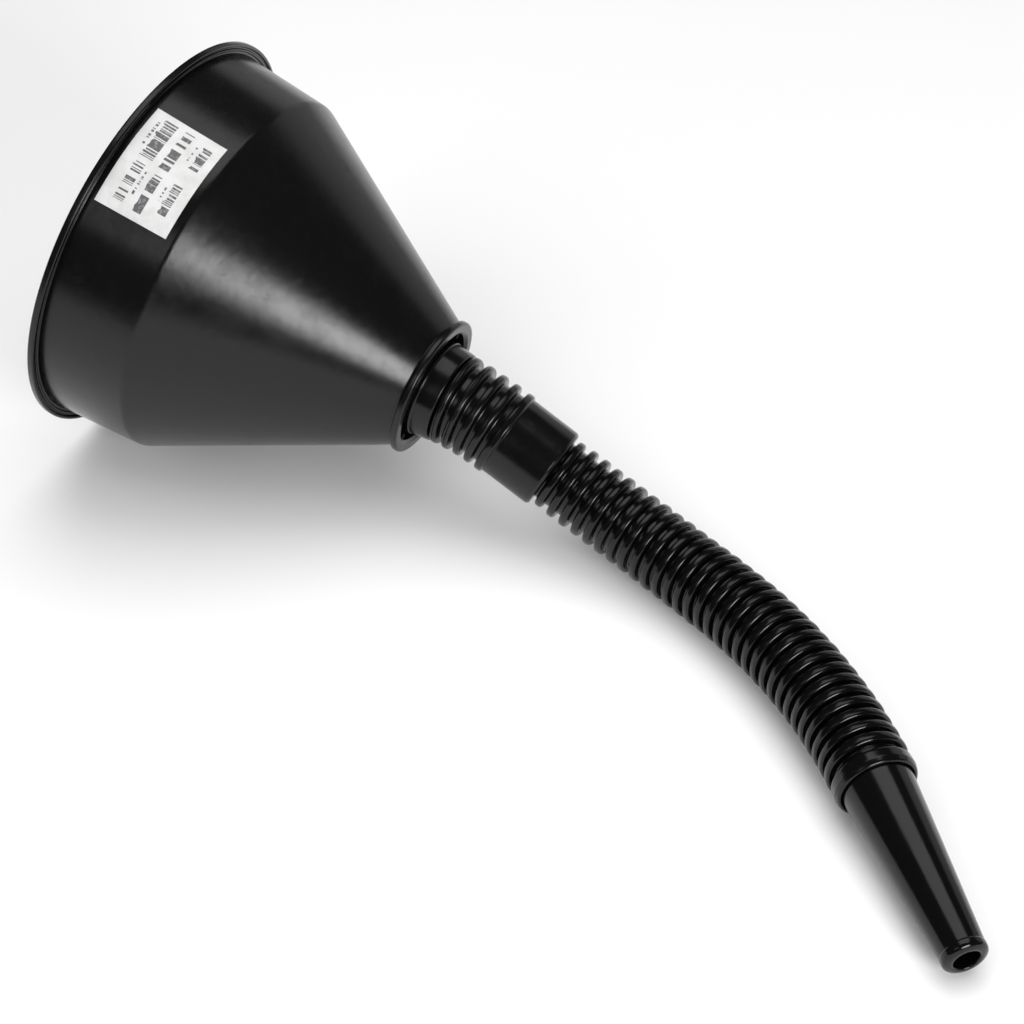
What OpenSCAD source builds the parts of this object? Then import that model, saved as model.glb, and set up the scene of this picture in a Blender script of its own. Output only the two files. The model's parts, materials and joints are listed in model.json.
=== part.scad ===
// Workshop funnel with a bendable spout: a moulded bowl with a side label and a
// lift-out strainer, a cuff that swivels on the bowl's outlet nipple, a short
// bellows, a sleeve, a long bellows hose and a tapered nozzle.
// It lies on the floor plane z = 0. +X runs along the bowl, from mouth to spout.
// Each bellows is a run of links. A link ends in a ball-shaped lip that sits in
// the next link's pocket, centred on the hinge between them.

/* [Bowl] */
// Outside radius of the mouth rim
rim_r = 80; // [76:1:86]
// Wall radius just under the rim
wall_top_r = 75.8; // [72:0.2:76]
// Wall radius where the band meets the cone
band_r = 73; // [70:0.5:75]
// Length of the straight band, rim to cone
band_l = 37; // [30:1:45]
// Length of the cone, band to neck flange
cone_l = 88; // [75:1:100]
// Cone radius where it meets the neck flange
cone_end_r = 25.4; // [24.5:0.1:26]
// Wall thickness of the bowl
wall = 1.8; // [1.4:0.1:2.2]
// Rounding between band and cone
band_round = 12; // [6:1:16]
// Angle at which the bowl lies, spout end down
tilt = 12.9; // [9:0.1:14]

/* [Neck] */
// Radius of the neck flange
flange_r = 27.3; // [26.5:0.1:29]
// Thickness of the neck flange
flange_t = 2.8; // [2:0.2:4]
// Radius of the recess round the nipple
recess_r = 22.4; // [21:0.1:23]
// Depth of the recess, from the flange's face
recess_depth = 8.4; // [6:0.2:10]
// Outside radius of the outlet nipple
nipple_r = 16; // [15:0.1:16.5]
// Bore radius of the outlet nipple
nipple_bore_r = 14; // [12.5:0.1:14.5]
// How far the nipple stands out past the flange
nipple_out = 6; // [5:0.5:6.5]
// Radial running clearance of the cuff on the nipple
swivel_gap = 0.05; // [0.02:0.01:0.1]

/* [Label] */
// Length of the label round the band
label_l = 40; // [20:1:60]
// Width of the label along the bowl
label_w = 29.5; // [15:0.5:30]
// Thickness of the label
label_t = 0.2; // [0.1:0.05:0.4]
// Angle of the label round the band, from the floor side
label_turn = 207; // [0:1:359]

/* [Strainer] */
// Outside radius of the strainer frame
strainer_r = 26.2; // [24:0.1:26.6]
// Height of the strainer frame
strainer_h = 5; // [4:0.5:7]
// Pitch of the square gauze openings
gauze_pitch = 3; // [2.4:0.2:5]
// Width of one gauze opening
gauze_hole = 2.2; // [1.6:0.1:2.4]

/* [Short bellows] */
// Distance between the crests
short_pitch = 5.35; // [5.2:0.05:5.6]
// Crest radius
short_crest_r = 17.3; // [17:0.1:17.6]
// Distance from flange middle to the first hinge
cuff_l = 13.8; // [13.4:0.1:15]
// Slope of the sleeve down from level
sleeve_dip = 25.05; // [18:0.05:27]
// Outside radius of the sleeve
sleeve_r = 16.1; // [15.9:0.1:16.4]
// Distance from flange middle to the hose's first hinge
sleeve_end = 61.6; // [58:0.1:66]

/* [Hose] */
// Number of two-crest links
hose_links = 15; // [8:1:18]
// Distance between the crests
hose_pitch = 5.65; // [5.4:0.05:6]
// Crest radius
hose_crest_r = 14.9; // [14.7:0.1:15.1]
// Width of each crest
crest_w = 3.2; // [2.8:0.1:3.4]
// Sideways turn of the whole hose as it lies
hose_turn = 44; // [20:1:55]
// Number of links over which the hose levels out on the floor
settle_links = 7; // [5:1:10]

/* [Nozzle] */
// Length of the nozzle past the collar
nozzle_l = 70; // [50:1:90]
// Outside radius at the collar
nozzle_root_r = 12.7; // [12:0.1:13]
// Outside radius at the tip
nozzle_tip_r = 8; // [7.4:0.1:9]
// Bore radius of the outlet
outlet_r = 4.6; // [4:0.1:5]
// Length of the outlet's straight bore
outlet_l = 14; // [8:1:20]
// Length of the collar at the hose's end
collar_l = 8; // [6:0.5:10]
// Further dip of the nozzle below the hose
nozzle_dip = 3.5; // [0:0.1:4]

/* [Hidden] */
$fn = 96;
flange_z = band_l + cone_l;            // middle of the flange, from the mouth
face_z = flange_z + flange_t / 2;      // front face of the flange
shelf_z = face_z - recess_depth - wall; // seat of the strainer
cone_slope = (band_r - cone_end_r) / (cone_l - flange_t / 2);
nipple_end = face_z + nipple_out;
bead_z = nipple_end - 3;
cuff_start = face_z - recess_depth + 0.6;
cuff_r1 = 19.2;
cuff_r2 = 17.9;
short_w = 3.2;
short_gap = (short_pitch - short_w) / 2;
hose_gap = (hose_pitch - crest_w) / 2;
ball_gap = 0.3;                        // between a lip and its pocket
short_ball = [12.8, 14.0, 5.0];        // bore, lip radius, largest bend
hose_ball = [10.4, 11.6, 8.6];
link_l = 2 * hose_pitch;
short_n = 3;                           // loose crests of the short bellows
tip_round = 3.5;
seat_z = 3.8;                          // the nozzle's seat inside the collar

// The route. Station 0 is the cuff, 1 to 3 the loose crests, 4 the sleeve, then
// the hose links. yaw() and dip() are the heading of a station, run() its length.
sleeve_at = short_n + 1;
last = sleeve_at + hose_links;
function yaw(k) = k <= sleeve_at ? 0 : hose_turn * (k - sleeve_at) / hose_links;
function settle(k) = max(0, 1 - (k - sleeve_at) / settle_links);
function dip(k) = k <= sleeve_at
    ? tilt + (sleeve_dip - tilt) * k / sleeve_at
    : sleeve_dip * settle(k);
function run(k) = k == 0 ? cuff_l
    : k < sleeve_at ? short_pitch
    : k == sleeve_at ? sleeve_end - cuff_l - short_n * short_pitch
    : link_l;
function heading(k) = [cos(yaw(k)) * cos(dip(k)), -sin(yaw(k)) * cos(dip(k)), -sin(dip(k))];

// The rounded band edge lies on the floor, and the footprint's middle is the origin.
a_band = atan((wall_top_r - band_r) / band_l);
a_cone = atan(cone_slope);
a_mid = (a_band + a_cone) / 2;
edge = [band_r, band_l] - band_round / cos((a_cone - a_band) / 2) * [cos(a_mid), sin(a_mid)];
axis = heading(0);
mouth0 = [0, 0, edge[0] * cos(tilt) + band_round + edge[1] * sin(tilt)];
function start0(k) = k == 0 ? mouth0 + flange_z * axis : start0(k - 1) + run(k - 1) * heading(k - 1);
nose = [cos(yaw(last)) * cos(nozzle_dip), -sin(yaw(last)) * cos(nozzle_dip), -sin(nozzle_dip)];
collar0 = start0(last) + link_l * heading(last);
tip0 = collar0 + (collar_l + nozzle_l) * nose;
tip_ring = nozzle_tip_r - tip_round;
x_low = mouth0[0] - rim_r * sin(tilt);
x_high = tip0[0] - tip_round * nose[0] + tip_ring * sin(yaw(last)) + tip_round;
y_low = tip0[1] - tip_round * nose[1] - tip_ring * cos(yaw(last)) - tip_round;
shift = [-(x_low + x_high) / 2, -(rim_r + y_low) / 2, 0];
mouth = mouth0 + shift;
function start(k) = start0(k) + shift;
echo(mouth = mouth, shelf = mouth + shelf_z * axis, tip = tip0 + shift);
echo(hinges = [for (k = [1:last]) start(k)]);

function link_name(k) = str("hose_link_", k < 10 ? "0" : "", k);
function crest_name(k) = str("spout_crest_", k + 1);

// --- placing ---

module on_bowl(z = 0)
    translate(mouth + z * axis) rotate([0, 90 + tilt, 0]) children();

module on_route(k)
    translate(start(k)) rotate([0, 90 + dip(k), -yaw(k)]) children();

module on_nozzle()
    translate(collar0 + shift) rotate([0, 90 + nozzle_dip, -yaw(last)]) children();

// --- shared shapes ---

// Points along an arc, from angle a to angle b
function arc(c, r, a, b, n = 8) =
    [for (i = [0:n]) c + r * [cos(a + (b - a) * i / n), sin(a + (b - a) * i / n)]];

// A band of the radial plane, from radius r1 to r2 and from z1 to z2
module strip(r1, r2, z1, z2)
    translate([r1, z1]) square([r2 - r1, z2 - z1]);

// A ball-shaped lip round the hinge at height z
module lip_profile(z, gap, ball) {
    low = -gap - 0.5;
    reach = gap + ball[1] * sin(ball[2]);
    polygon(concat(
        [[ball[0], z + low]],
        arc([0, z], ball[1], asin(low / ball[1]), asin(reach / ball[1]), 4),
        [[ball[0], z + reach]]
    ));
}

// The pocket that the lip of the link before swings in, round the hinge at 0
module pocket_profile(gap, ball) {
    r = ball[1] + ball_gap;
    end = gap + 2 * ball[1] * sin(ball[2]) + 0.3;
    polygon(concat([[0, -1]], [[r, -1]], arc([0, 0], r, 0, asin(end / r), 4), [[0, end]]));
}

// One fold of a bellows, w wide, its round corners cut in two steps
module fold_profile(z, crest_r, w, foot_r)
    translate([crest_r, z])
        polygon([
            [foot_r - crest_r, -w / 2], [-1.1, -w / 2], [-0.3, -w / 2 + 0.3],
            [0, -w / 2 + 1.1], [0, w / 2 - 1.1],
            [-0.3, w / 2 - 0.3], [-1.1, w / 2], [foot_r - crest_r, w / 2]
        ]);

// The section of a link: n folds on a tube, a pocket at 0 and a lip at the far end
module link_profile(n, pitch, crest_r, w, valley_r, gap, ball) {
    length = n * pitch;
    difference() {
        union() {
            strip(ball[0], valley_r, gap, length - gap);
            for (i = [0:n - 1])
                fold_profile((i + 0.5) * pitch, crest_r, w, ball[0]);
        }
        pocket_profile(gap, ball);
    }
    lip_profile(length, gap, ball);
}

// --- bowl ---

module bowl_outer() {
    polygon(concat(
        [[0, 0], [wall_top_r, 0]],
        arc(edge, band_round, a_band, a_cone),
        [[cone_end_r, flange_z - flange_t / 2], [cone_end_r, face_z], [0, face_z]]
    ));
}

module bowl_inner() {
    // the same outline one wall further in, down to the strainer's shelf
    drop = wall / cos(atan(cone_slope));
    shelf_r = cone_end_r - drop + cone_slope * (flange_z - flange_t / 2 - shelf_z);
    polygon([
        [-1, -1], [wall_top_r - wall, -1], [band_r - wall, band_l - 0.4],
        [shelf_r, shelf_z], [-1, shelf_z]
    ]);
}

module rim_profile() {
    strip(wall_top_r - wall, rim_r - 0.9, 0, 1.8);
    translate([rim_r - 0.9, 0.9]) circle(0.9);
    strip(rim_r - 1.5, rim_r, 0.9, 4.2);
    translate([rim_r - 0.75, 4.2]) circle(0.75);
    strip(77.3 - 0.4, 77.3 + 0.4, 1, 3);
}

module bowl() color([0.055, 0.055, 0.06]) on_bowl() {
    difference() {
        rotate_extrude() {
            difference() {
                bowl_outer();
                bowl_inner();
                strip(-1, nipple_bore_r, 0, nipple_end);
                strip(nipple_r, recess_r, face_z - recess_depth, nipple_end);
            }
            rim_profile();
            // neck flange with a rounded edge
            strip(recess_r, flange_r - flange_t / 2, flange_z - flange_t / 2, face_z);
            translate([flange_r - flange_t / 2, flange_z]) circle(flange_t / 2);
            // outlet nipple with its snap bead
            strip(nipple_bore_r, nipple_r, shelf_z + 0.5, nipple_end);
            translate([nipple_r - 0.3, bead_z]) circle(0.9);
        }
        cylinder(r = nipple_bore_r, h = 200);
    }
    // ribs in the recess
    for (a = [45:90:315])
        rotate([0, 0, a])
            translate([19.8, -0.6, face_z - recess_depth - 0.5])
                cube([recess_r - 19.8 + 0.5, 1.2, recess_depth - 1.5]);
}

module label() color([0.9, 0.9, 0.88]) on_bowl() {
    mid_z = band_l / 2 + 0.8;
    slope = (wall_top_r - band_r) / band_l;
    turn = label_l / band_r * 180 / PI;
    z1 = mid_z - label_w / 2;
    z2 = mid_z + label_w / 2;
    rotate([0, 0, label_turn - turn / 2])
        rotate_extrude(angle = turn)
            polygon([
                [wall_top_r - slope * z1, z1], [wall_top_r - slope * z1 + label_t, z1],
                [wall_top_r - slope * z2 + label_t, z2], [wall_top_r - slope * z2, z2]
            ]);
}

// --- strainer ---

strainer_z = shelf_z - ball_gap - strainer_h;
gauze_r = strainer_r - 2;
gauze_z = strainer_z + strainer_h - 1.6;

module strainer_frame() color([0.09, 0.09, 0.1]) on_bowl(strainer_z) {
    difference() {
        union() {
            rotate_extrude() difference() {
                strip(strainer_r - 2.6, strainer_r, 0, strainer_h);
                strip(0, gauze_r, strainer_h - 1.6, strainer_h - 1.2);
            }
            // cross bars above the gauze, and the pull knob
            for (a = [0, 90]) rotate([0, 0, a])
                translate([-strainer_r + 1.5, -1, strainer_h - 3.4])
                    cube([2 * strainer_r - 3, 2, 1.8]);
            translate([0, 0, -9]) cylinder(r = 2.6, h = strainer_h - 1.6 + 9);
            translate([0, 0, -9]) sphere(4.2);
        }
    }
}

module strainer_gauze() color([0.72, 0.6, 0.3]) on_bowl(gauze_z) {
    n = floor(gauze_r / gauze_pitch);
    linear_extrude(0.4) difference() {
        circle(gauze_r);
        for (i = [-n:n], j = [-n:n])
            if (norm([i, j]) * gauze_pitch < gauze_r - 3.4)
                translate([i, j] * gauze_pitch) square(gauze_hole, center = true);
    }
}

// --- spout ---

black = [0.06, 0.06, 0.062];

module spout_cuff() color(black) on_route(0) rotate_extrude() {
    z0 = cuff_start - flange_z;
    seat = nipple_end - flange_z + 0.3;
    neck = cuff_l - short_pitch + 0.5;
    difference() {
        union() {
            polygon([[10, z0], [cuff_r1 - 0.6, z0], [cuff_r1, z0 + 0.6], [cuff_r2, neck], [10, neck]]);
            strip(10, 15.3, neck - 1, cuff_l - short_gap);
            fold_profile(cuff_l - short_pitch / 2, short_crest_r, short_w, 13);
        }
        strip(-1, short_ball[0], -20, cuff_l + 5);
        strip(0, nipple_r + swivel_gap, z0 - 1, seat);
        translate([nipple_r, bead_z - flange_z])
            polygon([[-1, -1.3], [0.9, -0.5], [0.9, 0.5], [-1, 1.3]]);
    }
    lip_profile(cuff_l, short_gap, short_ball);
}

module spout_crest(k) color(black) on_route(k)
    rotate_extrude()
        link_profile(1, short_pitch, short_crest_r, short_w, 15.3, short_gap, short_ball);

module sleeve() color(black) on_route(sleeve_at) rotate_extrude() {
    end = run(sleeve_at) - hose_pitch - 0.4;
    difference() {
        union() {
            strip(10, 15.3, short_gap, short_pitch);
            fold_profile(short_pitch / 2, short_crest_r, short_w, 13);
            polygon([
                [10, short_pitch - 0.9], [sleeve_r, short_pitch - 0.9],
                [sleeve_r, end - 0.6], [sleeve_r - 0.6, end], [10, end]
            ]);
        }
        strip(-1, short_ball[0], -5, end + 5);
        pocket_profile(short_gap, short_ball);
    }
}

module hose_spigot() color(black) on_route(sleeve_at) rotate_extrude() {
    length = run(sleeve_at);
    difference() {
        union() {
            strip(10, short_ball[0], length - hose_pitch - 14, length - hose_gap);
            fold_profile(length - hose_pitch / 2, hose_crest_r - 0.5, crest_w, 11);
        }
        strip(-1, hose_ball[0], 0, length + 5);
    }
    lip_profile(length, hose_gap, hose_ball);
}

module hose_link(k) color(black) on_route(sleeve_at + k)
    rotate_extrude()
        link_profile(2, hose_pitch, hose_crest_r, crest_w, 12.4, hose_gap, hose_ball);

module hose_collar() color(black) on_nozzle() rotate_extrude() {
    // a plain ring past the last crest, drawn in at its mouth
    r = hose_crest_r;
    difference() {
        union() {
            strip(hose_ball[0], r - 1.1, 0.9, collar_l - 0.4);
            polygon([
                [r - 2, 0.9], [r - 1.1, 0.9], [r - 0.3, 1.2], [r, 2],
                [r, collar_l - 2.4], [r - 0.5, collar_l - 1],
                [r - 1.5, collar_l - 0.4], [r - 2, collar_l - 0.4]
            ]);
        }
        strip(0, nozzle_root_r, seat_z, collar_l + 5);
        strip(-1, hose_ball[1] - 0.04, 0, collar_l);
    }
}

module nozzle() color([0.045, 0.045, 0.05]) on_nozzle() rotate_extrude() {
    end = collar_l + nozzle_l;
    difference() {
        union() {
            polygon([
                [2, seat_z], [nozzle_root_r, seat_z], [nozzle_root_r, collar_l],
                [nozzle_tip_r, end - tip_round], [2, end - tip_round]
            ]);
            strip(2, tip_ring, end - tip_round - 1, end);
            translate([tip_ring, end - tip_round]) circle(tip_round);
        }
        polygon([
            [-1, 1], [hose_ball[0] + 0.6, 1], [hose_ball[0] + 0.6, collar_l],
            [outlet_r, end - outlet_l], [outlet_r, end + 1], [-1, end + 1]
        ]);
    }
}

bowl();
label();
strainer_frame();
strainer_gauze();
spout_cuff();
for (k = [1:short_n])
    spout_crest(k);
sleeve();
hose_spigot();
for (k = [1:hose_links])
    hose_link(k);
hose_collar();
nozzle();
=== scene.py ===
"""The looks of the flexible-spout funnel: smooth mouldings, a bellows skin swept round the
bends between the links, a woven strainer, procedural black plastics and a pale studio floor."""

import json
import math
import random

import bpy
import numpy as np
from mathutils import Matrix, Vector


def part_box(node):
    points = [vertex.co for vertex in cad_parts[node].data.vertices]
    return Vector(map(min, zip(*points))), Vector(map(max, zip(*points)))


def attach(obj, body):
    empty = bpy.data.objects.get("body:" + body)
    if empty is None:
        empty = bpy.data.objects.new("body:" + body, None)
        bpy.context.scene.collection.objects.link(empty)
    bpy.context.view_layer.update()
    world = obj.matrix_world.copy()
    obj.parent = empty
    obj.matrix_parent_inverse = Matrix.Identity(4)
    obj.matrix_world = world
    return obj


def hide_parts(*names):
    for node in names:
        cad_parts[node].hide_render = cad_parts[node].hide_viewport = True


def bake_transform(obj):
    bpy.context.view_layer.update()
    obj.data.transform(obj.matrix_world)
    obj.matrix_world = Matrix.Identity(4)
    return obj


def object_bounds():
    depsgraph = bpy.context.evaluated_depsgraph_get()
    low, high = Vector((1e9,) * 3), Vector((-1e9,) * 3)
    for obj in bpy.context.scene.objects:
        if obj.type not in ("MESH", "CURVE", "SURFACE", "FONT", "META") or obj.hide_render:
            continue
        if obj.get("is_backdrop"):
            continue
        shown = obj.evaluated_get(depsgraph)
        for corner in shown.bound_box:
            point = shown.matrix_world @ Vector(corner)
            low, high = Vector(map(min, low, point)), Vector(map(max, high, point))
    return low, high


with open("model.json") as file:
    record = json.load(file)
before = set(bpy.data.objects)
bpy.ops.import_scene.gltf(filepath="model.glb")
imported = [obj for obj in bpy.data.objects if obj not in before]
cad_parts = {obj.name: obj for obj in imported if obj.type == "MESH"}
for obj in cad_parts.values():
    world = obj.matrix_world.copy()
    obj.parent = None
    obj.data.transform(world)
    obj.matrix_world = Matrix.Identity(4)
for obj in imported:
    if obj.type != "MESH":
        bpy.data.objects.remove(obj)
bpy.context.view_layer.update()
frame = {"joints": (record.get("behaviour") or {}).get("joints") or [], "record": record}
joints = {j["name"]: j for j in frame["joints"]}
mounts = {m["name"]: m for m in frame["record"]["mounts"]}
MM = 0.001

# ---------------------------------------------------------------- sizes, in millimetres

BAND_L = 37.0
CONE_L = 88.0
FLANGE_T = 2.8
BAND_TOP_R = 75.8
BAND_R = 73.0
CONE_END_R = 25.4
WALL = 1.8
RECESS_R = 22.4
RECESS_DEPTH = 8.4
NIPPLE_R = 16.0
NIPPLE_BORE_R = 14.0
NIPPLE_OUT = 6.0
CUFF_R = (19.2, 17.9)
SHORT_PITCH = 5.35
SHORT_CREST_R = 17.3
SLEEVE_R = 16.1
HOSE_PITCH = 5.65
HOSE_CREST_R = 14.9
HOSE_BORE_R = 10.4
COLLAR_L = 8.0
NOZZLE_ROOT_R = 12.7
NOZZLE_TIP_R = 8.0
TIP_ROUND = 3.5
OUTLET_L = 14.0
LABEL_SIZE = (40.0, 29.5)
STRAINER_R = 26.2
STRAINER_H = 5.0

rim_r = (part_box("bowl")[1].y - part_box("bowl")[0].y) / 2 / MM
outlet_r = mounts["outlet"]["dims"]["r_mm"]
flange_z = BAND_L + CONE_L
face_z = flange_z + FLANGE_T / 2
shelf_z = face_z - RECESS_DEPTH - WALL
cone_slope = (BAND_R - CONE_END_R) / (CONE_L - FLANGE_T / 2)

# ---------------------------------------------------------------- the route, from the record


bowl_axis = Vector(joints["spout_swivel"]["axis"]).normalized()
flange_centre = Vector(joints["spout_swivel"]["pos_m"])
mouth_centre = flange_centre - flange_z * MM * bowl_axis
short_hinges = [Vector(joints[f"short_bend_{i}"]["pos_m"]) for i in range(1, 5)]
hose_names = sorted(n for n in joints if n.startswith("hose_bend_"))
hose_hinges = [Vector(joints[n]["pos_m"]) for n in hose_names]
nose_axis = Vector(mounts["outlet"]["axis"]).normalized()
outlet_centre = Vector(mounts["outlet"]["pos_m"])
tip_end = outlet_centre + OUTLET_L / 2 * MM * nose_axis
NOZZLE_L = 70.0
collar_start = tip_end - (COLLAR_L + NOZZLE_L) * MM * nose_axis
hose_hinges_end = hose_hinges + [collar_start]
sleeve_axis = (hose_hinges[0] - short_hinges[-1]).normalized()
link_axes = [(b - a).normalized() for a, b in zip(hose_hinges_end, hose_hinges_end[1:])]


def axis_matrix(origin, direction):
    """Local Z along direction, local X as far down as it can be, in metres."""
    d = direction.normalized()
    x = (-Vector((0, 0, 1)) + d.z * d).normalized()
    y = d.cross(x)
    return Matrix(
        (
            (x.x, y.x, d.x, origin.x),
            (x.y, y.y, d.y, origin.y),
            (x.z, y.z, d.z, origin.z),
            (0, 0, 0, 1),
        )
    )


# ---------------------------------------------------------------- making meshes


def rounded(points, closed=True, step=14.0, support=0.35):
    """A dense outline from corners (r, z, rounding). Each corner becomes an arc, with a support
    point beside it on each long side so that smooth shading stays flat there."""
    out = []
    n = len(points)
    for i, (r, z, radius) in enumerate(points):
        here = np.array((r, z), float)
        if not closed and i in (0, n - 1) or radius <= 0:
            out.append(here)
            continue
        before = np.array(points[i - 1][:2], float) - here
        after = np.array(points[(i + 1) % n][:2], float) - here
        len_b, len_a = np.linalg.norm(before), np.linalg.norm(after)
        before, after = before / len_b, after / len_a
        turn = math.acos(max(-1.0, min(1.0, float(before @ after))))
        if turn > math.radians(179.5):
            out.append(here)
            continue
        reach = min(radius / math.tan(turn / 2), 0.48 * len_b, 0.48 * len_a)
        radius = reach * math.tan(turn / 2)
        bisector = (before + after) / np.linalg.norm(before + after)
        centre = here + bisector * radius / math.sin(turn / 2)
        start, end = here + before * reach, here + after * reach
        a0 = math.atan2(*(start - centre)[::-1])
        a1 = math.atan2(*(end - centre)[::-1])
        sweep = (a1 - a0 + math.pi) % (2 * math.pi) - math.pi
        steps = max(3, round(abs(math.degrees(sweep)) / step))
        if len_b - reach > 3 * support:
            out.append(start + before * support)
        for k in range(steps + 1):
            a = a0 + sweep * k / steps
            out.append(centre + radius * np.array((math.cos(a), math.sin(a))))
        if len_a - reach > 3 * support:
            out.append(end + after * support)
    return out


def mesh_object(name, verts, faces, local, material):
    """A smooth mesh whose vertices carry their place in the piece's own frame, for the shaders."""
    mesh = bpy.data.meshes.new(name)
    mesh.from_pydata([tuple(v) for v in verts], [], faces)
    mesh.validate()
    attribute = mesh.attributes.new("place", "FLOAT_VECTOR", "POINT")
    attribute.data.foreach_set("vector", np.asarray(local, np.float32).ravel())
    mesh.shade_smooth()
    mesh.materials.append(material)
    obj = bpy.data.objects.new(name, mesh)
    bpy.context.scene.collection.objects.link(obj)
    return obj


def revolve(name, outline, origin, direction, material, segments=192, closed=True, warp=None):
    """Turns an outline of (r, z) millimetres about an axis."""
    place = axis_matrix(origin, direction)
    rows = [np.asarray(p, float) for p in outline]
    verts, local = [], []
    for r, z in rows:
        for k in range(segments):
            a = 2 * math.pi * k / segments
            rr, zz = warp(r, z, a) if warp else (r, z)
            p = Vector((rr * math.cos(a), rr * math.sin(a), zz))
            local.append(p)
            verts.append(place @ (p * MM))
    faces = []
    n = len(rows)
    for i in range(n if closed else n - 1):
        j = (i + 1) % n
        for k in range(segments):
            m = (k + 1) % segments
            faces.append((i * segments + k, j * segments + k, j * segments + m, i * segments + m))
    return mesh_object(name, verts, faces, local, material)


def hermite(p0, d0, p1, d1, u):
    """Point and direction on a smooth curve between two axis points."""
    length = (p1 - p0).length
    t0, t1 = d0 * length, d1 * length
    h = (2 * u**3 - 3 * u**2 + 1, u**3 - 2 * u**2 + u, -2 * u**3 + 3 * u**2, u**3 - u**2)
    g = (6 * u**2 - 6 * u, 3 * u**2 - 4 * u + 1, -6 * u**2 + 6 * u, 3 * u**2 - 2 * u)
    point = h[0] * p0 + h[1] * t0 + h[2] * p1 + h[3] * t1
    slope = g[0] * p0 + g[1] * t0 + g[2] * p1 + g[3] * t1
    return point, slope.normalized()


def sweep(name, profile, p0, d0, p1, d1, material, along0=0.0, segments=96):
    """A round skin along the curve from p0 to p1. The profile is (share of the way, radius in mm)."""
    verts, local = [], []
    length = (p1 - p0).length / MM
    for u, r in profile:
        point, direction = hermite(p0, d0, p1, d1, u)
        place = axis_matrix(point, direction)
        for k in range(segments):
            a = 2 * math.pi * k / segments
            p = Vector((r * math.cos(a), r * math.sin(a), 0))
            local.append((p.x, p.y, along0 + u * length))
            verts.append(place @ (p * MM))
    faces = []
    for i in range(len(profile) - 1):
        for k in range(segments):
            m = (k + 1) % segments
            a, b = i * segments, (i + 1) * segments
            faces.append((a + k, b + k, b + m, a + m))
    return mesh_object(name, verts, faces, local, material)


def crests(count, pitch, crest_r, width, depth, round_r=1.15, radii=None):
    """Profile points, in mm along and mm out, of some crests side by side, valley to valley."""
    corners = [(0.0, crest_r - depth, 0)]
    valley_r = crest_r - depth
    for i in range(count):
        top = radii[i] if radii else crest_r
        left = i * pitch + (pitch - width) / 2
        right = left + width
        corners += [
            (left - 0.12, valley_r, 0.75),
            (left, top, round_r),
            (right, top, round_r),
            (right + 0.12, valley_r, 0.75),
        ]
    corners.append((count * pitch, valley_r, 0))
    dense = rounded([(z, r, c) for z, r, c in corners], closed=False, step=15)
    return [(float(p[0]), float(p[1])) for p in dense]


def as_share(profile, length):
    return [(z / length, r) for z, r in profile]


# ---------------------------------------------------------------- materials


def new_material(name):
    material = bpy.data.materials.new(name)
    material.use_nodes = True
    tree = material.node_tree
    tree.nodes.clear()
    out = tree.nodes.new("ShaderNodeOutputMaterial")
    shader = tree.nodes.new("ShaderNodeBsdfPrincipled")
    tree.links.new(shader.outputs["BSDF"], out.inputs["Surface"])
    place = tree.nodes.new("ShaderNodeAttribute")
    place.attribute_name = "place"
    return material, tree, shader, place.outputs["Vector"]


def noise(tree, vector, scale, detail=4.0, roughness=0.55, stretch=(1, 1, 1), turn=(0, 0, 0)):
    mapping = tree.nodes.new("ShaderNodeMapping")
    mapping.inputs["Scale"].default_value = stretch
    mapping.inputs["Rotation"].default_value = turn
    tree.links.new(vector, mapping.inputs["Vector"])
    tex = tree.nodes.new("ShaderNodeTexNoise")
    tex.inputs["Scale"].default_value = scale
    tex.inputs["Detail"].default_value = detail
    tex.inputs["Roughness"].default_value = roughness
    tree.links.new(mapping.outputs["Vector"], tex.inputs["Vector"])
    return tex.outputs["Fac"]


def remap(tree, value, low, high, to_low, to_high):
    node = tree.nodes.new("ShaderNodeMapRange")
    for socket, number in zip(("From Min", "From Max", "To Min", "To Max"), (low, high, to_low, to_high)):
        node.inputs[socket].default_value = number
    tree.links.new(value, node.inputs["Value"])
    return node.outputs["Result"]


def math_node(tree, operation, a, b=None, clamp=False):
    node = tree.nodes.new("ShaderNodeMath")
    node.operation = operation
    node.use_clamp = clamp
    for socket, value in zip(node.inputs, (a, b)):
        if value is None:
            continue
        if isinstance(value, (int, float)):
            socket.default_value = value
        else:
            tree.links.new(value, socket)
    return node.outputs[0]


def bump(tree, height, strength, distance, below=None):
    node = tree.nodes.new("ShaderNodeBump")
    node.inputs["Strength"].default_value = strength
    node.inputs["Distance"].default_value = distance
    tree.links.new(height, node.inputs["Height"])
    if below is not None:
        tree.links.new(below, node.inputs["Normal"])
    return node.outputs["Normal"]


def scratches(tree, place, seed_turns, density=0.009):
    """Thin long lines in several directions, 1 on a line and 0 elsewhere."""
    total = None
    for i, turn in enumerate(seed_turns):
        lines = noise(tree, place, 1.5, 2.0, 0.4, stretch=(9.0, 0.35, 0.35), turn=turn)
        thin = remap(tree, lines, 0.5 - density, 0.5, 0.0, 1.0)
        other = remap(tree, lines, 0.5, 0.5 + density, 1.0, 0.0)
        line = math_node(tree, "MULTIPLY", thin, other)
        gate = noise(tree, place, 0.11 + 0.02 * i, 2.0, 0.5, turn=(i, 2 * i, 3 * i))
        line = math_node(tree, "MULTIPLY", line, remap(tree, gate, 0.5, 0.62, 0.0, 1.0))
        total = line if total is None else math_node(tree, "MAXIMUM", total, line)
    return total


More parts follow.
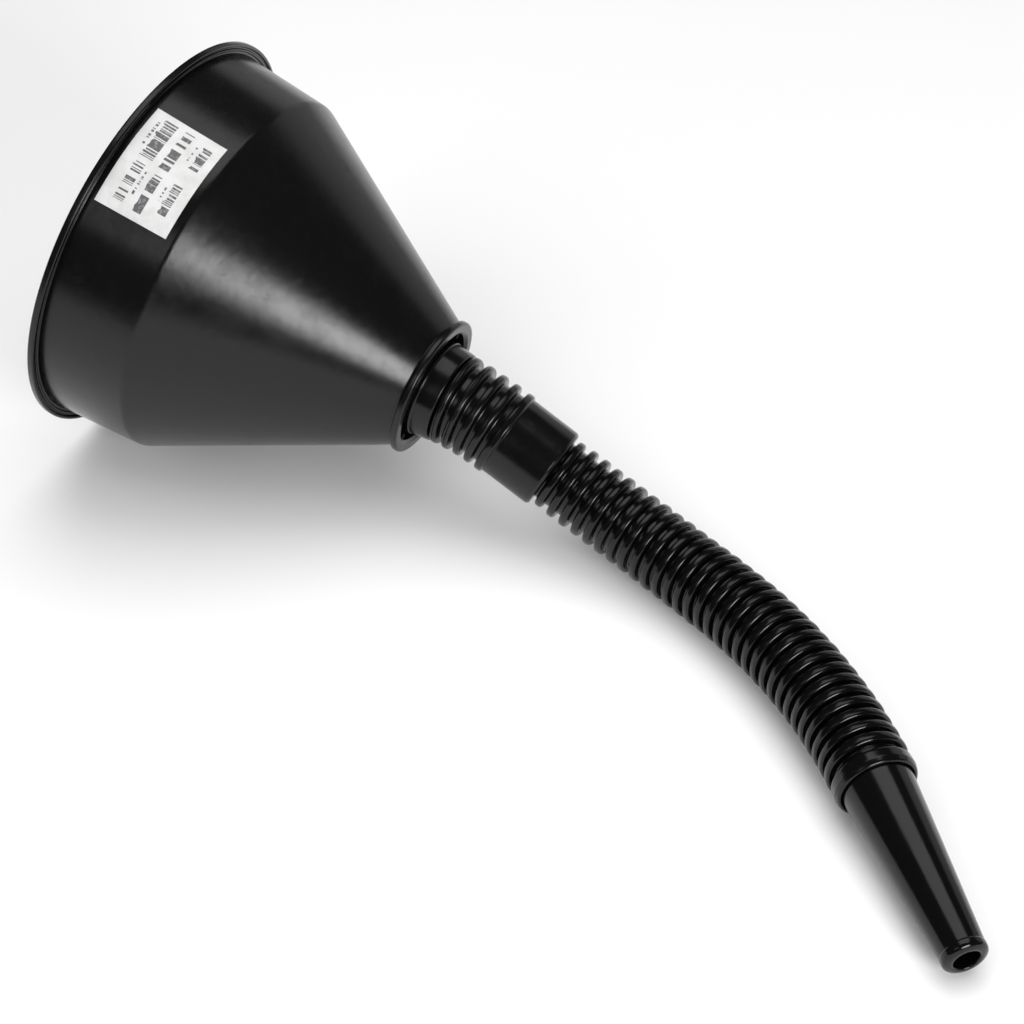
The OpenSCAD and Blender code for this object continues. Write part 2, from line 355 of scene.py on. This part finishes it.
def black_plastic(name, colour, rough, cloud=0.08, scuff=0.5, ripple=0.0, ior=1.5):
    material, tree, shader, place = new_material(name)
    shader.inputs["Base Color"].default_value = (*colour, 1)
    shader.inputs["IOR"].default_value = ior
    clouds = noise(tree, place, 0.09, 5.0, 0.6)
    fine = noise(tree, place, 1.6, 3.0, 0.6)
    lines = scratches(tree, place, [(0.3, 0.2, 0.5), (1.1, 0.7, 2.0), (2.3, 1.6, 0.9)])
    base = remap(tree, clouds, 0.3, 0.7, rough - cloud, rough + cloud)
    base = math_node(tree, "ADD", base, remap(tree, fine, 0.3, 0.75, 0.0, 0.05))
    base = math_node(tree, "ADD", base, math_node(tree, "MULTIPLY", lines, 0.25 * scuff))
    tree.links.new(base, shader.inputs["Roughness"])
    grain = noise(tree, place, 3.2, 3.0, 0.6)
    normal = bump(tree, grain, 0.12, 0.00012)
    normal = bump(tree, lines, 0.25 * scuff, 0.00008, normal)
    if ripple:
        waves = noise(tree, place, 0.16, 2.0, 0.5, stretch=(1, 1, 2.2))
        normal = bump(tree, waves, ripple, 0.0011, normal)
    tree.links.new(normal, shader.inputs["Normal"])
    return material


bowl_black = black_plastic(
    "bowl_black_plastic", (0.0032, 0.0032, 0.0036), 0.19, 0.02, 0.55, ripple=0.04, ior=1.42
)
spout_black = black_plastic(
    "spout_black_plastic", (0.003, 0.003, 0.0032), 0.16, 0.04, 0.5, ripple=0.06, ior=1.4
)
hose_black = black_plastic(
    "hose_black_plastic", (0.0026, 0.0026, 0.0028), 0.12, 0.03, 0.3, ripple=0.03, ior=1.4
)
nozzle_black = black_plastic(
    "nozzle_black_plastic", (0.0026, 0.0026, 0.0026), 0.10, 0.03, 0.25, ripple=0.03, ior=1.4
)
strainer_black = black_plastic("strainer_black_plastic", (0.012, 0.012, 0.013), 0.36, 0.06, 0.3)


def brass_gauze():
    material, tree, shader, place = new_material("gauze_brass")
    shader.inputs["Base Color"].default_value = (0.56, 0.40, 0.16, 1)
    shader.inputs["Metallic"].default_value = 1.0
    tarnish = noise(tree, place, 0.25, 4.0, 0.6)
    tree.links.new(remap(tree, tarnish, 0.3, 0.7, 0.22, 0.45), shader.inputs["Roughness"])
    tree.links.new(bump(tree, noise(tree, place, 6.0, 2.0), 0.1, 0.00005), shader.inputs["Normal"])
    return material


def label_paper():
    """White paper with plain printed bars and dashes, none of them letters."""
    material, tree, shader, place = new_material("label_paper")
    split = tree.nodes.new("ShaderNodeSeparateXYZ")
    tree.links.new(place, split.inputs[0])
    across, along = split.outputs["X"], split.outputs["Y"]

    def inside(value, low, high):
        return math_node(
            tree, "MULTIPLY",
            math_node(tree, "GREATER_THAN", value, low),
            math_node(tree, "LESS_THAN", value, high),
        )

    def bars(x0, x1, y0, y1, pitch, fill, ragged, seed):
        """A block of upright bars whose widths and heights vary."""
        combine = tree.nodes.new("ShaderNodeCombineXYZ")
        tree.links.new(across, combine.inputs["X"])
        combine.inputs["Y"].default_value = seed
        widths = noise(tree, combine.outputs[0], 1.0 / pitch, 0.0, 0.5)
        ink = math_node(tree, "LESS_THAN", widths, fill)
        heights = noise(tree, combine.outputs[0], 0.45 / pitch, 0.0, 0.5)
        top = remap(tree, heights, 0.3, 0.7, y1 - ragged, y1)
        box = math_node(tree, "MULTIPLY", inside(across, x0, x1), math_node(tree, "GREATER_THAN", along, y0))
        box = math_node(tree, "MULTIPLY", box, math_node(tree, "LESS_THAN", along, top))
        return math_node(tree, "MULTIPLY", box, ink)

    w, h = LABEL_SIZE
    blocks = [
        bars(-17.5, -1.5, 4.2, 9.8, 0.6, 0.55, 1.0, 3.0),
        bars(-15.5, -4.5, 10.4, 11.6, 0.9, 0.5, 0.3, 9.0),
        bars(1.0, 16.0, 5.4, 10.2, 0.7, 0.5, 1.6, 14.0),
        bars(2.5, 12.0, 3.4, 4.4, 0.9, 0.48, 0.3, 21.0),
        bars(-17.5, -0.5, -2.8, 1.4, 0.95, 0.58, 0.5, 33.0),
        bars(2.0, 17.0, -2.4, 1.2, 0.9, 0.57, 0.5, 41.0),
        bars(-16.0, -6.0, -11.4, -7.2, 0.75, 0.5, 1.0, 52.0),
        bars(-14.5, -8.0, -6.2, -5.4, 0.7, 0.5, 0.2, 57.0),
        bars(1.5, 13.5, -10.6, -6.8, 0.7, 0.52, 0.9, 63.0),
        bars(3.5, 9.5, -5.8, -5.0, 0.7, 0.5, 0.2, 71.0),
    ]
    ink = blocks[0]
    for block in blocks[1:]:
        ink = math_node(tree, "MAXIMUM", ink, block)
    worn = noise(tree, place, 0.8, 3.0, 0.6)
    ink = math_node(tree, "MULTIPLY", ink, remap(tree, worn, 0.25, 0.5, 0.55, 0.92))
    mix = tree.nodes.new("ShaderNodeMix")
    mix.data_type = "RGBA"
    tree.links.new(ink, mix.inputs["Factor"])
    tone = noise(tree, place, 0.12, 4.0, 0.6)
    paper = tree.nodes.new("ShaderNodeValToRGB")
    paper.color_ramp.elements[0].color = (0.56, 0.56, 0.55, 1)
    paper.color_ramp.elements[1].color = (0.65, 0.65, 0.65, 1)
    paper.color_ramp.elements[0].position = 0.35
    paper.color_ramp.elements[1].position = 0.6
    tree.links.new(tone, paper.inputs["Fac"])
    tree.links.new(paper.outputs["Color"], mix.inputs["A"])
    mix.inputs["B"].default_value = (0.05, 0.05, 0.055, 1)
    tree.links.new(mix.outputs["Result"], shader.inputs["Base Color"])
    tree.links.new(remap(tree, tone, 0.3, 0.7, 0.42, 0.55), shader.inputs["Roughness"])
    fibre = noise(tree, place, 2.5, 4.0, 0.7)
    tree.links.new(bump(tree, fibre, 0.15, 0.00006), shader.inputs["Normal"])
    return material


gauze_brass = brass_gauze()
paper_label = label_paper()

# ---------------------------------------------------------------- the bowl


def bowl():
    drop = WALL / math.cos(math.atan(cone_slope))
    inner_shelf = CONE_END_R - drop + cone_slope * (flange_z - FLANGE_T / 2 - shelf_z)
    nipple_end = face_z + NIPPLE_OUT
    bead = nipple_end - 3
    outline = rounded(
        [
            (BAND_TOP_R - WALL, 0, 0.7),
            (rim_r, 0, 0.9),
            (rim_r, 2.8, 0.65),
            (rim_r - 1.4, 2.8, 0.6),
            (rim_r - 1.4, 1.8, 0.4),
            (77.7, 1.8, 0.3),
            (77.7, 2.6, 0.35),
            (76.9, 2.6, 0.35),
            (76.9, 1.8, 0.3),
            (BAND_TOP_R - 0.1, 1.8, 0.7),
            (BAND_R, BAND_L, 4),
            (CONE_END_R, flange_z - FLANGE_T / 2, 0.8),
            (27.3, flange_z - FLANGE_T / 2, 1.3),
            (27.3, face_z, 1.0),
            (RECESS_R + 1.2, face_z, 0.5),
            (RECESS_R, face_z - 1.0, 0.5),
            (RECESS_R - 0.3, face_z - RECESS_DEPTH, 0.8),
            (NIPPLE_R, face_z - RECESS_DEPTH, 0.6),
            (NIPPLE_R, bead - 0.8, 0.3),
            (NIPPLE_R + 0.6, bead, 0.5),
            (NIPPLE_R, bead + 0.8, 0.3),
            (NIPPLE_R, nipple_end, 0.6),
            (NIPPLE_BORE_R, nipple_end, 0.6),
            (NIPPLE_BORE_R, shelf_z, 1.0),
            (inner_shelf, shelf_z, 1.2),
            (BAND_R - WALL, BAND_L - 0.4, 3),
        ]
    )
    # the wall isn't perfectly round: a slow ripple of a tenth of a millimetre
    def warp(r, z, a):
        if r < 30:
            return r, z
        return r + 0.07 * math.sin(3 * a + 0.03 * z) + 0.04 * math.sin(7 * a + 0.05 * z), z

    shell = revolve("bowl_shell", outline, mouth_centre, bowl_axis, bowl_black, segments=288, warp=warp)
    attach(shell, "bowl")
    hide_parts("bowl")
    return shell


def recess_ribs():
    """Four small webs between the recess wall and the cuff."""
    place = axis_matrix(mouth_centre, bowl_axis)
    verts, faces, local = [], [], []
    for turn in (45, 135, 225, 315):
        a = math.radians(turn)
        rot = Matrix.Rotation(a, 4, "Z")
        low, high = face_z - RECESS_DEPTH - 0.2, face_z - 1.9
        first = len(verts)
        section = (
            (19.9, low), (RECESS_R + 0.4, low), (RECESS_R + 0.4, high), (20.6, high), (19.9, high - 0.8)
        )
        for x, z in section:
            for y in (-0.6, 0.6):
                p = rot @ Vector((x, y, z))
                local.append(p)
                verts.append(place @ (p * MM))
        for side in (0, 1):
            ring = [first + 2 * i + side for i in range(5)]
            faces.append(tuple(ring if side else ring[::-1]))
        for i in range(5):
            j = (i + 1) % 5
            faces.append((first + 2 * i, first + 2 * i + 1, first + 2 * j + 1, first + 2 * j))
    ribs = mesh_object("recess_ribs", verts, faces, local, bowl_black)
    soften(ribs, 0.18)
    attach(ribs, "bowl")


def soften(obj, width, segments=3):
    mod = obj.modifiers.new("soft_edges", "BEVEL")
    mod.width = width * MM
    mod.segments = segments
    mod.limit_method = "ANGLE"
    mod.angle_limit = math.radians(40)
    mod.harden_normals = True
    return mod


def label():
    """A thin sheet wrapped on the band, its corners a hair proud."""
    place = axis_matrix(mouth_centre, bowl_axis)
    w, h = LABEL_SIZE
    low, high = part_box("label")
    centre = (low + high) / 2
    local_centre = place.inverted() @ centre
    turn0 = math.atan2(local_centre.y, local_centre.x)
    z0 = BAND_L / 2 + 0.8
    slope = (BAND_TOP_R - BAND_R) / BAND_L
    nu, nv = 48, 36
    verts, local, faces = [], [], []
    for side in (0, 1):
        for i in range(nu + 1):
            for j in range(nv + 1):
                x, y = (i / nu - 0.5) * w, (j / nv - 0.5) * h
                z = z0 + y
                edge = min(w / 2 - abs(x), h / 2 - abs(y))
                corner = max(0.0, (abs(x) / (w / 2)) ** 8 * (abs(y) / (h / 2)) ** 8)
                lift = 0.06 + 0.12 * side + 0.10 * corner + 0.015 * math.sin(0.7 * x + 0.4 * y)
                lift -= 0.05 * side * (edge <= 0)
                r = BAND_TOP_R - slope * z + lift
                a = turn0 + x / BAND_R
                verts.append(place @ (Vector((r * math.cos(a), r * math.sin(a), z)) * MM))
                local.append((x, -y, 0.3 * side))
    stride = nv + 1
    count = (nu + 1) * stride

    def at(side, i, j):
        return side * count + i * stride + j

    for i in range(nu):
        for j in range(nv):
            faces.append((at(1, i, j), at(1, i + 1, j), at(1, i + 1, j + 1), at(1, i, j + 1)))
            faces.append((at(0, i, j), at(0, i, j + 1), at(0, i + 1, j + 1), at(0, i + 1, j)))
    for i in range(nu):
        faces.append((at(0, i, 0), at(0, i + 1, 0), at(1, i + 1, 0), at(1, i, 0)))
        faces.append((at(0, i + 1, nv), at(0, i, nv), at(1, i, nv), at(1, i + 1, nv)))
    for j in range(nv):
        faces.append((at(0, 0, j + 1), at(0, 0, j), at(1, 0, j), at(1, 0, j + 1)))
        faces.append((at(0, nu, j), at(0, nu, j + 1), at(1, nu, j + 1), at(1, nu, j)))
    sticker = mesh_object("label_sheet", verts, faces, local, paper_label)
    sticker.data.set_sharp_from_angle(angle=math.radians(40))
    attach(sticker, "bowl")
    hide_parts("label")


# ---------------------------------------------------------------- the strainer


def strainer():
    top = shelf_z - 0.3 - STRAINER_H
    origin = mouth_centre + top * MM * bowl_axis
    ring = rounded(
        [
            (STRAINER_R - 2.6, 0, 0.6),
            (STRAINER_R, 0, 0.6),
            (STRAINER_R, 1.4, 0.3),
            (STRAINER_R - 0.5, 1.9, 0.3),
            (STRAINER_R - 0.5, STRAINER_H, 0.5),
            (STRAINER_R - 2.4, STRAINER_H, 0.4),
            (STRAINER_R - 2.4, STRAINER_H - 1.0, 0.2),
            (STRAINER_R - 2.6, STRAINER_H - 1.8, 0.2),
        ]
    )
    frame_ring = revolve("strainer_ring", ring, origin, bowl_axis, strainer_black, segments=144)
    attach(frame_ring, "strainer")
    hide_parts("strainer_frame")
    knob = rounded(
        [
            (0.02, -13.0, 0.5),
            (3.4, -12.6, 2.2),
            (4.2, -9.0, 2.4),
            (2.7, -5.6, 1.2),
            (2.5, STRAINER_H - 3.6, 1.2),
            (3.6, STRAINER_H - 2.4, 0.4),
            (3.6, STRAINER_H - 1.7, 0.3),
            (0.02, STRAINER_H - 1.7, 0),
        ],
        closed=False,
    )
    stem = revolve("strainer_knob", knob, origin, bowl_axis, strainer_black, segments=64, closed=False)
    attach(stem, "strainer")
    for i, turn in enumerate((0, 90)):
        place = axis_matrix(origin, bowl_axis) @ Matrix.Rotation(math.radians(turn), 4, "Z")
        half, low, high = STRAINER_R - 2.2, STRAINER_H - 3.4, STRAINER_H - 1.65
        corners = [
            Vector((x, y, z))
            for x in (-half, half) for y, z in ((-1.1, high), (1.1, high), (0.7, low), (-0.7, low))
        ]
        faces = [(0, 1, 2, 3), (7, 6, 5, 4)] + [(k, k + 4, (k + 1) % 4 + 4, (k + 1) % 4) for k in range(4)]
        bar = mesh_object(
            f"strainer_bar_{i + 1}", [place @ (c * MM) for c in corners], faces, corners, strainer_black
        )
        soften(bar, 0.3)
        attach(bar, "strainer")
    return origin


def gauze(origin):
    """Plain-woven wire: each wire passes over and under the ones it crosses."""
    place = axis_matrix(origin, bowl_axis)
    reach = STRAINER_R - 2.45
    pitch, wire_r = 1.25, 0.16
    level = STRAINER_H - 1.4
    count = int(reach / pitch)
    verts, faces, local = [], [], []
    sides = 5
    for family in (0, 1):
        for i in range(-count, count + 1):
            offset = i * pitch
            half = math.sqrt(max(0.0, reach**2 - offset**2))
            steps = max(4, int(2 * half / pitch * 4))
            first = len(verts)
            for s in range(steps + 1):
                t = -half + 2 * half * s / steps
                phase = math.cos(math.pi * t / pitch) * (1 if (i + family) % 2 else -1)
                centre = Vector((t, offset, level + wire_r * phase * (1 if family else -1)))
                for k in range(sides):
                    a = 2 * math.pi * k / sides
                    p = centre + Vector((0, wire_r * math.cos(a), wire_r * math.sin(a)))
                    if family:
                        p = Vector((p.y, p.x, p.z))
                    local.append(p)
                    verts.append(place @ (p * MM))
            for s in range(steps):
                for k in range(sides):
                    m = (k + 1) % sides
                    a, b = first + s * sides, first + (s + 1) * sides
                    faces.append((a + k, b + k, b + m, a + m))
    mesh = mesh_object("gauze_weave", verts, faces, local, gauze_brass)
    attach(mesh, "strainer")
    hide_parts("strainer_gauze")


# ---------------------------------------------------------------- the spout adapter

SHORT_WIDTH = 3.2
SHORT_DEPTH = 2.6
FLANK = (SHORT_PITCH - SHORT_WIDTH) / 2  # from a hinge to the foot of the next crest


def spout_cuff():
    """The cuff, from inside the recess to the foot of the first crest."""
    first_foot = (short_hinges[0] - flange_centre).length / MM - SHORT_PITCH + FLANK
    bore = NIPPLE_R + 0.05
    start = -RECESS_DEPTH + FLANGE_T / 2 + 0.6
    outline = rounded(
        [
            (bore, start, 0.3),
            (CUFF_R[0], start, 0.6),
            (CUFF_R[0] - 0.1, 1.6, 0.5),
            (CUFF_R[0] - 0.45, 1.9, 0.3),
            (CUFF_R[1], first_foot - 0.5, 0.7),
            (SHORT_CREST_R - SHORT_DEPTH + 0.1, first_foot, 0.4),
            (12.9, first_foot, 0.2),
            (12.9, first_foot - 0.9, 0.2),
            (bore, first_foot - 1.1, 0.2),
        ]
    )
    cuff = revolve("spout_cuff_wall", outline, flange_centre, bowl_axis, spout_black, segments=160)
    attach(cuff, "cuff")
    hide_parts("spout_cuff")


def short_bellows():
    """One skin piece for each hinge: a crest, then the valley that flexes. Crests are a little
    uneven, as blow moulding leaves them."""
    bodies = ["cuff", "spout_crest_2", "spout_crest_3", "spout_crest_4", "sleeve"]
    axes = [bowl_axis]
    axes += [(b - a).normalized() for a, b in zip(short_hinges, short_hinges[1:])]
    axes.append(sleeve_axis)
    radii = [17.75, 17.55, 17.35, 17.3, 17.25]
    along = 0.0
    for i, hinge in enumerate(short_hinges):
        before = hinge - (SHORT_PITCH - FLANK) * MM * axes[i]
        after = hinge + FLANK * MM * axes[i + 1]
        length = SHORT_PITCH
        valley = SHORT_CREST_R - SHORT_DEPTH
        corners = [
            (0.0, valley + 0.5, 0),
            (0.15, radii[i], 1.2),
            (SHORT_WIDTH - 0.15, radii[i], 1.2),
            (SHORT_WIDTH + 0.05, valley, 0.8),
            (SHORT_PITCH - 0.05, valley, 0.35),
            (SHORT_PITCH, valley + 0.5, 0),
        ]
        dense = rounded(corners, closed=False, step=12)
        profile = [(float(p[0]) / length, float(p[1])) for p in dense]
        piece = sweep(
            f"short_bellows_{i + 1}", profile, before, axes[i], after, axes[i + 1], spout_black, along
        )
        along += length
        if i:
            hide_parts(bodies[i])
        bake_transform(piece)
    return axes


def sleeve():
    """The last short crest and the plain sleeve that holds the hose's spigot."""
    origin = short_hinges[-1]
    length = (hose_hinges[0] - origin).length / MM
    end = length - HOSE_PITCH - 0.35
    valley = SHORT_CREST_R - SHORT_DEPTH
    outline = rounded(
        [
            (12.9, FLANK, 0),
            (valley + 0.5, FLANK, 0),
            (17.25, FLANK + 0.15, 1.2),
            (17.2, FLANK + SHORT_WIDTH - 0.15, 1.1),
            (SLEEVE_R + 0.05, FLANK + SHORT_WIDTH + 0.35, 0.35),
            (SLEEVE_R, end - 1.1, 0.5),
            (SLEEVE_R - 0.75, end, 0.4),
            (12.9, end, 0.3),
        ]
    )
    wall = revolve("sleeve_wall", outline, origin, sleeve_axis, spout_black, segments=160)
    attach(wall, "sleeve")
    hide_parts("sleeve")


# ---------------------------------------------------------------- the hose

HOSE_WIDTH = 3.15
HOSE_DEPTH = 2.9


def hose_skin():
    """One skin piece for each hinge, from the middle of one link to the middle of the next, holding
    the two crests and three valleys between, swept round the bend."""
    axes = [sleeve_axis] + link_axes
    nodes = ["hose_spigot"] + [f"hose_link_{k:02d}" for k in range(1, len(hose_hinges) + 1)]
    wobble = random.Random(7)
    along = 0.0
    for i, hinge in enumerate(hose_hinges):
        before = hinge - HOSE_PITCH * MM * axes[i]
        after = hinge + HOSE_PITCH * MM * axes[i + 1]
        length = 2 * HOSE_PITCH
        radii = [HOSE_CREST_R + wobble.uniform(-0.12, 0.0) for _ in range(2)]
        if i == 0:
            radii[0] = HOSE_CREST_R - 0.5
        profile = as_share(crests(2, HOSE_PITCH, HOSE_CREST_R, HOSE_WIDTH, HOSE_DEPTH, radii=radii), length)
        piece = sweep(
            f"hose_skin_{i + 1:02d}", profile, before, axes[i], after, axes[i + 1], hose_black, along
        )
        along += length
        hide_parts(nodes[i])
        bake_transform(piece)
    # the spigot inside the sleeve, and the last crest beside the collar
    spigot = revolve(
        "hose_spigot_tube",
        rounded([
            (HOSE_BORE_R, 0, 0.3), (12.8, 0, 0.3), (12.8, 13.6, 0.2),
            (12.0, 14.05, 0.2), (HOSE_BORE_R, 14.05, 0.2),
        ]),
        hose_hinges[0] - (HOSE_PITCH + 14.0) * MM * sleeve_axis,
        sleeve_axis, hose_black, segments=96,
    )
    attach(spigot, "sleeve")
    start = hose_hinges[-1] + HOSE_PITCH * MM * axes[-1]
    profile = as_share(crests(1, HOSE_PITCH, HOSE_CREST_R, HOSE_WIDTH, HOSE_DEPTH), HOSE_PITCH)
    last = sweep("hose_last_crest", profile, start, axes[-1], collar_start, nose_axis, hose_black, along)
    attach(last, "nozzle")
    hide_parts(nodes[-1])


def collar():
    r = HOSE_CREST_R
    valley = r - HOSE_DEPTH
    outline = rounded(
        [
            (valley, -0.1, 0),
            (valley, 1.1, 0.5),
            (r - 0.15, 1.25, 1.3),
            (r, COLLAR_L - 2.6, 1.2),
            (r - 0.6, COLLAR_L - 0.7, 1.1),
            (NOZZLE_ROOT_R + 0.5, COLLAR_L - 0.35, 0.4),
            (NOZZLE_ROOT_R + 0.25, COLLAR_L - 1.6, 0.2),
            (NOZZLE_ROOT_R + 0.05, 4.0, 0.15),
            (11.9, 3.8, 0.2),
            (11.9, -0.1, 0),
        ]
    )
    ring = revolve("collar_ring", outline, collar_start, nose_axis, hose_black, segments=144)
    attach(ring, "nozzle")
    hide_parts("hose_collar")


def nozzle():
    end = COLLAR_L + NOZZLE_L
    outline = rounded(
        [
            (11.0, 3.8, 0.3),
            (NOZZLE_ROOT_R, 3.8, 0.3),
            (NOZZLE_ROOT_R, COLLAR_L, 4.0),
            (NOZZLE_TIP_R - 0.05, end - TIP_ROUND - 0.2, 0.25),
            (NOZZLE_TIP_R + 0.12, end - TIP_ROUND + 0.3, 0.5),
            (NOZZLE_TIP_R + 0.0, end - 0.9, 2.2),
            (NOZZLE_TIP_R - 2.0, end, 2.0),
            (outlet_r, end, 1.1),
            (outlet_r, end - OUTLET_L, 3.0),
            (11.0, COLLAR_L, 3.0),
        ]
    )
    tube = revolve("nozzle_tube", outline, collar_start, nose_axis, nozzle_black, segments=144)
    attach(tube, "nozzle")
    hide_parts("nozzle")


bowl()
recess_ribs()
label()
gauze(strainer())
spout_cuff()
short_bellows()
sleeve()
hose_skin()
collar()
nozzle()

# ---------------------------------------------------------------- camera, floor and light


def look():
    """Plain display of light levels, so that a white floor is white and a black plastic black."""
    bpy.context.scene.view_settings.view_transform = "Standard"


def camera():
    target = Vector((-0.0309, 0.0247, 0.0))
    azimuth, elevation, distance = math.radians(28.8), math.radians(42.8), 0.92
    back = Vector(
        (
            math.sin(azimuth) * math.cos(elevation),
            -math.cos(azimuth) * math.cos(elevation),
            math.sin(elevation),
        )
    )
    data = bpy.data.cameras.new("camera")
    data.lens = 84.4
    data.sensor_width = 36.0
    data.dof.use_dof = False
    obj = bpy.data.objects.new("camera", data)
    obj.location = target + distance * back
    obj.rotation_euler = back.to_track_quat("Z", "Y").to_euler()
    bpy.context.scene.collection.objects.link(obj)
    bpy.context.scene.camera = obj


def floor():
    material = bpy.data.materials.new("floor_white")
    material.use_nodes = True
    shader = material.node_tree.nodes["Principled BSDF"]
    shader.inputs["Base Color"].default_value = (0.9, 0.9, 0.9, 1)
    shader.inputs["Roughness"].default_value = 0.9
    shader.inputs["Specular IOR Level"].default_value = 0.1
    mesh = bpy.data.meshes.new("floor")
    s = 6.0
    mesh.from_pydata([(-s, -s, 0), (s, -s, 0), (s, s, 0), (-s, s, 0)], [], [(0, 1, 2, 3)])
    mesh.materials.append(material)
    obj = bpy.data.objects.new("floor", mesh)
    obj.location.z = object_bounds()[0].z - 0.0003
    bpy.context.scene.collection.objects.link(obj)
    obj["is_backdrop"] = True


def softbox(name, azimuth, elevation, distance, size, radiance, mirrored=True):
    """A plain rectangular light that faces the object. A light that isn't mirrored brightens the
    floor and leaves no highlight on the plastic."""
    a, e = math.radians(azimuth), math.radians(elevation)
    back = Vector((math.sin(a) * math.cos(e), -math.cos(a) * math.cos(e), math.sin(e)))
    data = bpy.data.lights.new(name, "AREA")
    data.shape = "RECTANGLE"
    data.size, data.size_y = size
    data.energy = radiance * math.pi * size[0] * size[1]
    obj = bpy.data.objects.new(name, data)
    obj.location = Vector((0, 0, 0.05)) + distance * back
    obj.rotation_euler = back.to_track_quat("Z", "Y").to_euler()
    obj.visible_camera = False
    obj.visible_glossy = mirrored
    bpy.context.scene.collection.objects.link(obj)
    obj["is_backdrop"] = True
    return obj


def lights():
    world = bpy.data.worlds.new("studio")
    bpy.context.scene.world = world
    world.use_nodes = True
    background = world.node_tree.nodes["Background"]
    background.inputs["Color"].default_value = (1, 1, 1, 1)
    background.inputs["Strength"].default_value = 0.05
    softbox("key_softbox", 55, 22, 1.6, (0.62, 0.60), 14.5)
    softbox("floor_light", 190, 84, 1.7, (2.4, 2.2), 1.45, mirrored=False)
    softbox("shadow_fill", -35, 38, 1.8, (1.8, 1.4), 1.25, mirrored=False)
    softbox("overhead_softbox", 200, 76, 1.7, (1.3, 1.1), 1.7)
    softbox("back_wall", 165, 14, 2.2, (3.4, 1.0), 0.5)
    softbox("left_softbox", -8, 44, 1.7, (0.5, 0.5), 1.4)


look()
camera()
floor()
lights()
